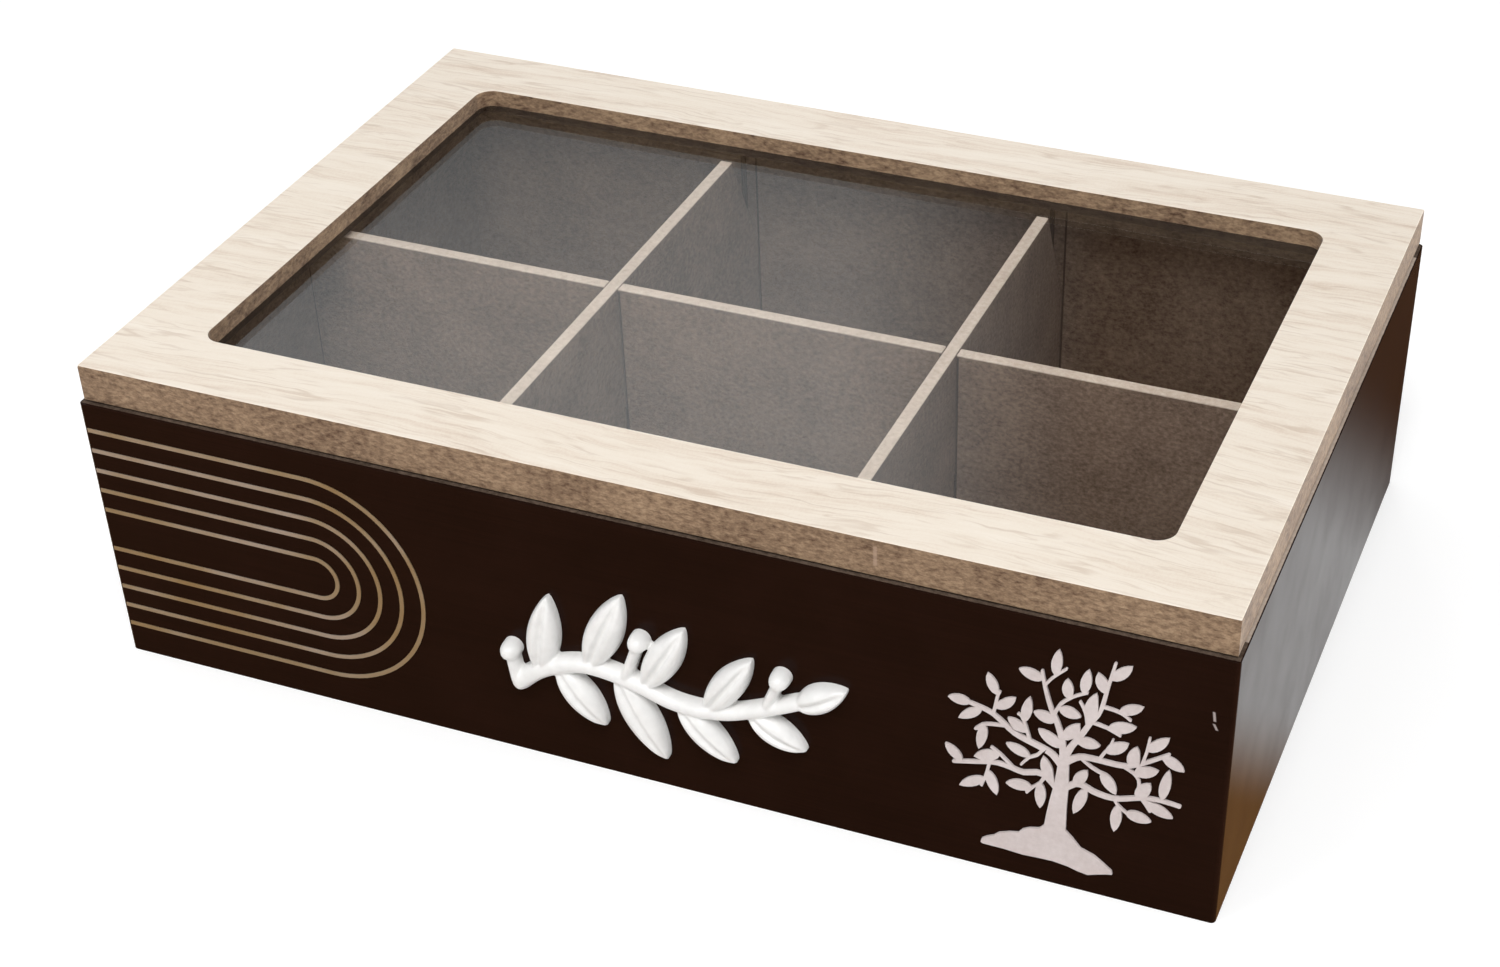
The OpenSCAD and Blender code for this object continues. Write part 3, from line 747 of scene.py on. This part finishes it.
def carried(path, half_width, height, crease):
    """Points of a skin, as rows along the path: right, up and out of the front.

    Each row is the section, square to the path and centred on its point.
    """
    along = np.gradient(path, axis=0)
    along /= np.linalg.norm(along, axis=1, keepdims=True)
    beside = np.stack([-along[:, 1], along[:, 0]], axis=1)
    across, lift = section(half_width, height, crease)
    flat = path[:, None, :] + across[:, :, None] * beside[:, None, :]
    return np.concatenate([flat, lift[:, :, None]], axis=2)


def smooth_path(points, steps):
    """Catmull-Rom curve through the points: a cubic between each two of them."""
    points = np.array(points, float)
    ends = np.vstack([2 * points[0] - points[1], points, 2 * points[-1] - points[-2]])
    t = np.linspace(0, 1, steps, endpoint=False)[None, :, None]
    a, b, c, d = (ends[i : len(ends) - 3 + i, None, :] for i in range(4))
    curve = 0.5 * (
        2 * b + (c - a) * t + (2 * a - 5 * b + 4 * c - d) * t**2 + (3 * b - a - 3 * c + d) * t**3
    )
    return np.vstack([curve.reshape(-1, 2), points[-1]])


# %% Leaf, stem and berry
ROWS = 60
LEAF_H, STEM_H, BERRY_H = 4.0, 3.3, 4.2
CREASE = 1.3
BERRY_R = 2.1


def leaf(foot, tip, width):
    """Half width w/2 * sin(pi * u ** 0.9) ** 0.7; the crease fades to both ends."""
    u = np.linspace(0, 1, ROWS)
    path = np.array(foot) + u[:, None] * (np.array(tip) - np.array(foot))
    swell = np.clip(np.sin(math.pi * u**0.9), 0, 1)
    half_width = width / 2 * swell**0.7
    height = LEAF_H * (0.35 + 0.65 * swell**0.5)
    return carried(path, half_width, height, CREASE * swell**0.6)


def stem(points, start_w, end_w):
    """Width goes evenly from start to end, with a quarter circle at both ends."""
    path = smooth_path(points, 8)
    steps = np.linalg.norm(np.diff(path, axis=0), axis=1)
    walked = np.concatenate([[0], np.cumsum(steps)])
    half_width = np.interp(walked, [0, walked[-1]], [start_w / 2, end_w / 2])
    to_end = np.minimum(walked, walked[-1] - walked) / half_width
    cap = np.sqrt(np.clip(1 - (1 - np.clip(to_end, 0, 1)) ** 2, 0, 1))
    height = STEM_H * (0.4 + 0.6 * cap)
    return carried(path, half_width * cap, height, np.zeros(len(path)))


def berry(centre):
    """Round dome: the half width is sqrt(r * r - s * s) along s from -r to r."""
    angle = np.linspace(0, math.pi, ROWS // 2)
    path = np.array(centre) + BERRY_R * np.stack([-np.cos(angle), 0 * angle], axis=1)
    half_width = BERRY_R * np.sin(angle)
    height = BERRY_H * (0.3 + 0.7 * np.sin(angle))
    return carried(path, half_width, height, np.zeros(len(path)))


# %% Draw the sprig
STEM_LINE = [(-34, -9), (-27, -3), (-18, 0.5), (-8, -0.5), (2, -3.5), (12, -3), (22, 1), (29, 4.5)]
LEAVES = [
    ((-28, -4), (-25, 15), 7),
    ((-17, 0), (-9, 19), 7.5),
    ((-5, -1.5), (4, 14.5), 7),
    ((8, -3.5), (18, 11), 6.5),
    ((-24, -1.5), (-14, -14), 7),
    ((-11, 0), (-1, -19), 7.5),
    ((2, -3.5), (14, -15.5), 6.5),
    ((17, -1.5), (29, -8), 6),
    ((27, 3), (37.5, 9), 6),
]
BERRIES = [((-33, -8), (-34, 0)), ((-9, -0.5), (-5.5, 9.5)), ((21, 1), (24, 8.5))]
skins = [stem(STEM_LINE, 4.2, 3.0)]
skins += [leaf(*row) for row in LEAVES]
skins += [stem(row, 2.4, 2.4) for row in BERRIES]
skins += [berry(row[1]) for row in BERRIES]
print(len(skins), "skins for the sprig")

# %% [markdown]
# The skins are set on the front of the box, where the frame's sprig is. A voxel
# remesh melts them into one body, and a Smooth modifier rounds the grooves where
# a leaf meets the stem, as in a casting.

# %% Make a mesh of the skins


def quads(rows, columns):
    """Faces of a grid whose columns close to a ring, as point numbers."""
    row, column = np.meshgrid(np.arange(rows - 1), np.arange(columns), indexing="ij")
    after = (column + 1) % columns
    corners = (
        row * columns + column,
        row * columns + after,
        (row + 1) * columns + after,
        (row + 1) * columns + column,
    )
    return np.stack(corners, axis=-1).reshape(-1, 4)


def skins_mesh(name, skins):
    """One mesh of all the skins: closed, with its faces outwards."""
    points, faces, count = [], [], 0
    for skin in skins:
        rows, columns, _ = skin.shape
        points.append(skin.reshape(-1, 3))
        faces.append(quads(rows, columns) + count)
        count += rows * columns
    mesh = bpy.data.meshes.new(name)
    mesh.from_pydata((np.vstack(points) * MM).tolist(), [], np.vstack(faces).tolist())
    shape = bmesh.new()
    shape.from_mesh(mesh)
    bmesh.ops.remove_doubles(shape, verts=shape.verts, dist=0.001 * MM)
    bmesh.ops.holes_fill(shape, edges=shape.edges, sides=0)
    bmesh.ops.recalc_face_normals(shape, faces=shape.faces)
    for face in shape.faces:
        face.smooth = True
    shape.to_mesh(mesh)
    shape.free()
    return mesh


# %% Melt the skins into one casting
VOXEL = 0.25 * MM
sprig_low, sprig_high = node_box("leaf_sprig")
drawn = np.vstack([skin.reshape(-1, 3) for skin in skins])
drawn_middle = (drawn.min(axis=0) + drawn.max(axis=0)) / 2
middle = (sprig_low + sprig_high) / 2
# Right on the drawing is +X of the frame, up is +Z, and out of the front is -Y
placed = [
    np.stack(
        [
            skin[..., 0] - drawn_middle[0] + middle[X],
            front_low[Y] - skin[..., 2],
            skin[..., 1] - drawn_middle[1] + middle[Z],
        ],
        axis=-1,
    )
    for skin in skins
]
sprig = bpy.data.objects.new("leaf_sprig_piece", skins_mesh("leaf_sprig_piece", placed))
sprig.data.materials.append(white_sprig)
scene.collection.objects.link(sprig)
melt = sprig.modifiers.new("melt", "REMESH")
melt.mode = "VOXEL"
melt.voxel_size = VOXEL
melt.use_smooth_shade = True
soften = sprig.modifiers.new("soften", "SMOOTH")
soften.factor = 0.5
soften.iterations = 4
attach(sprig, nodes["leaf_sprig"]["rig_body"])
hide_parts("leaf_sprig")
print("Sprig, mm:", [round(float(v), 1) for v in sprig_high - sprig_low])

# %% [markdown]
# ## Floor and light
#
# A photographer would put this box on white paper. The floor and the world look
# white to the camera and in reflections, while the light on the box stays at a
# plain level, so that a pale colour renders about as it is written. The paper
# glows more with its distance, so that it is white far off and keeps the shadow
# beside the box. Two brown patches are painted reflections, seen only in the
# gloss, with nothing there. One is a brown flag behind the box on the right,
# which keeps the glare off that side of the window. The other is the brown of a
# wooden table on the floor under the front half of the box, which keeps the
# front wall warm and turns the near end of the right wall brown.

# %% What the camera and the gloss see


def seen_directly(shader):
    """1 for rays from the camera and their mirror and glass parts, before any matt surface.

    The Light Path node comes with it, for the other kinds of ray.
    """
    path = shader.node("ShaderNodeLightPath")
    seen = path.output("Is Camera Ray").most(path.output("Is Glossy Ray"))
    seen = seen.most(path.output("Is Transmission Ray"))
    return seen * path.output("Diffuse Depth").step(0.4, 0.6, 1, 0), path


# Painted reflection of a brown flag, seen by the gloss alone. Degrees: its middle, from the back to
# the right, half its width and its soft edge
REFLECTED_FLAG_AZIMUTH, REFLECTED_FLAG_HALF, REFLECTED_FLAG_SOFT = 20, 39, 4
REFLECTED_FLAG_BROWN = linear(96, 66, 44)


def reflected_flag_side(shader, east, north, soft):
    """1 towards the painted reflection of the flag, seen from the box: the cosine of the angle to
    its middle.
    """
    squared = east * east + north * north
    turn = math.radians(REFLECTED_FLAG_AZIMUTH)
    facing = (east * math.sin(turn) + north * math.cos(turn)) / squared.math("SQRT", squared)
    outside, inside = (math.cos(math.radians(REFLECTED_FLAG_HALF + s)) for s in (soft, -soft))
    return facing.step(outside, inside)


# %% The floor
NEAR, FAR = 450, 1500
NEAR_GLOW, FAR_GLOW = 0.3, 0.66
# Painted reflection of a wooden table, seen by the gloss alone in front of these y in mm
REFLECTED_TABLE_END = -45, -10
REFLECTED_TABLE_BROWN = linear(190, 138, 84)
PAPER_WHITE = (0.86, 0.86, 0.86)


def white_floor():
    """Paper whose glow grows with the squared distance; the gloss sees painted reflections of a
    flag and a table.
    """
    floor = Finish("white_paper")
    seen, path = seen_directly(floor)
    mirrored = path.output("Is Glossy Ray") * seen
    reflected_flag = reflected_flag_side(floor, floor.x, floor.y, 3 * REFLECTED_FLAG_SOFT) * mirrored
    reflected_table = floor.y.step(*REFLECTED_TABLE_END, 1, 0) * mirrored
    squared = floor.x * floor.x + floor.y * floor.y
    far = squared.step(NEAR**2, FAR**2, NEAR_GLOW, FAR_GLOW)
    glow = seen * (1 - reflected_flag.most(reflected_table)) * far
    paper = floor.mix(reflected_flag, PAPER_WHITE, REFLECTED_FLAG_BROWN)
    return floor.set(
        Base_Color=floor.mix(reflected_table, paper, REFLECTED_TABLE_BROWN),
        Roughness=0.9,
        Specular_IOR_Level=0.1,
        Emission_Color=floor.mix(glow, (0, 0, 0), (1, 1, 1)),
        Emission_Strength=1.0,
    ).material


FLOOR_REACH = 3.0
floor_mesh = bpy.data.meshes.new("floor")
around = (-1, -1), (1, -1), (1, 1), (-1, 1)
corners = [(x * FLOOR_REACH, y * FLOOR_REACH, 0.0) for x, y in around]
floor_mesh.from_pydata(corners, [], [(0, 1, 2, 3)])
floor_mesh.materials.append(white_floor())
floor = bpy.data.objects.new("floor", floor_mesh)
scene.collection.objects.link(floor)
print(f"Floor {2 * FLOOR_REACH:.0f} m wide")

# %% [markdown]
# The world gives the box its even light from all sides, at AMBIENT of the white
# that the camera sees. In the gloss alone it is dimmer near the horizon, a painted
# reflection with no less light behind it. A large window lamp stands high at the
# front right, a weak fill lamp at the front left, and two small low lamps, one at
# the right and one behind, brighten those walls and hardly reach the lid.

# %% The world and the lamps
AMBIENT = 0.43
# Painted reflection: only the gloss sees the world this dim at the horizon, and the light on the
# box is unchanged
REFLECTED_DIM_HORIZON = 0.2
HORIZON = [math.sin(math.radians(angle)) for angle in (22, 35)]


def studio_world():
    """Even white light, with a painted reflection of a brown flag and a dim horizon for the gloss
    alone.
    """
    world = bpy.data.worlds.new("studio")
    world.use_nodes = True
    studio = Shader(world.node_tree)
    seen, path = seen_directly(studio)
    ray = studio.node("ShaderNodeTexCoord").output("Generated")
    parts = studio.node("ShaderNodeSeparateXYZ", inputs={0: ray})
    mirrored = path.output("Is Glossy Ray") * seen
    reflected_flag = reflected_flag_side(studio, parts.output("X"), parts.output("Y"), REFLECTED_FLAG_SOFT) * mirrored
    reflected_horizon_light = parts.output("Z").step(*HORIZON, REFLECTED_DIM_HORIZON, 1.0)
    background = world.node_tree.nodes["Background"]
    colour = studio.mix(reflected_flag, (1, 1, 1), REFLECTED_FLAG_BROWN)
    strength = AMBIENT + seen * (1 - AMBIENT) - mirrored * (1 - reflected_horizon_light)
    world.node_tree.links.new(colour.socket, background.inputs["Color"])
    world.node_tree.links.new(strength.socket, background.inputs["Strength"])
    return world


BOX_MIDDLE = Vector((0, 0, 0.04))


def soft_lamp(name, place, size, power):
    """Square area lamp at a place in metres that faces the box."""
    lamp_data = bpy.data.lights.new(name, "AREA")
    lamp_data.size = size
    lamp_data.energy = power
    lamp = bpy.data.objects.new(name, lamp_data)
    lamp.location = place
    aim = BOX_MIDDLE - Vector(place)
    lamp.rotation_mode = "QUATERNION"
    lamp.rotation_quaternion = aim.to_track_quat("-Z", "Y")
    scene.collection.objects.link(lamp)
    print(f"{name}: {size} m wide, {power} W")


scene.world = studio_world()
soft_lamp("window_lamp", (0.39, -1.07, 1.9), 0.8, 26.5)
soft_lamp("fill_lamp", (-0.65, -0.8, 0.7), 0.6, 2.0)
soft_lamp("side_lamp", (1.4, 0.0, 0.1), 0.2, 8.0)
soft_lamp("back_lamp", (-0.5, 1.4, 0.1), 0.2, 4.0)
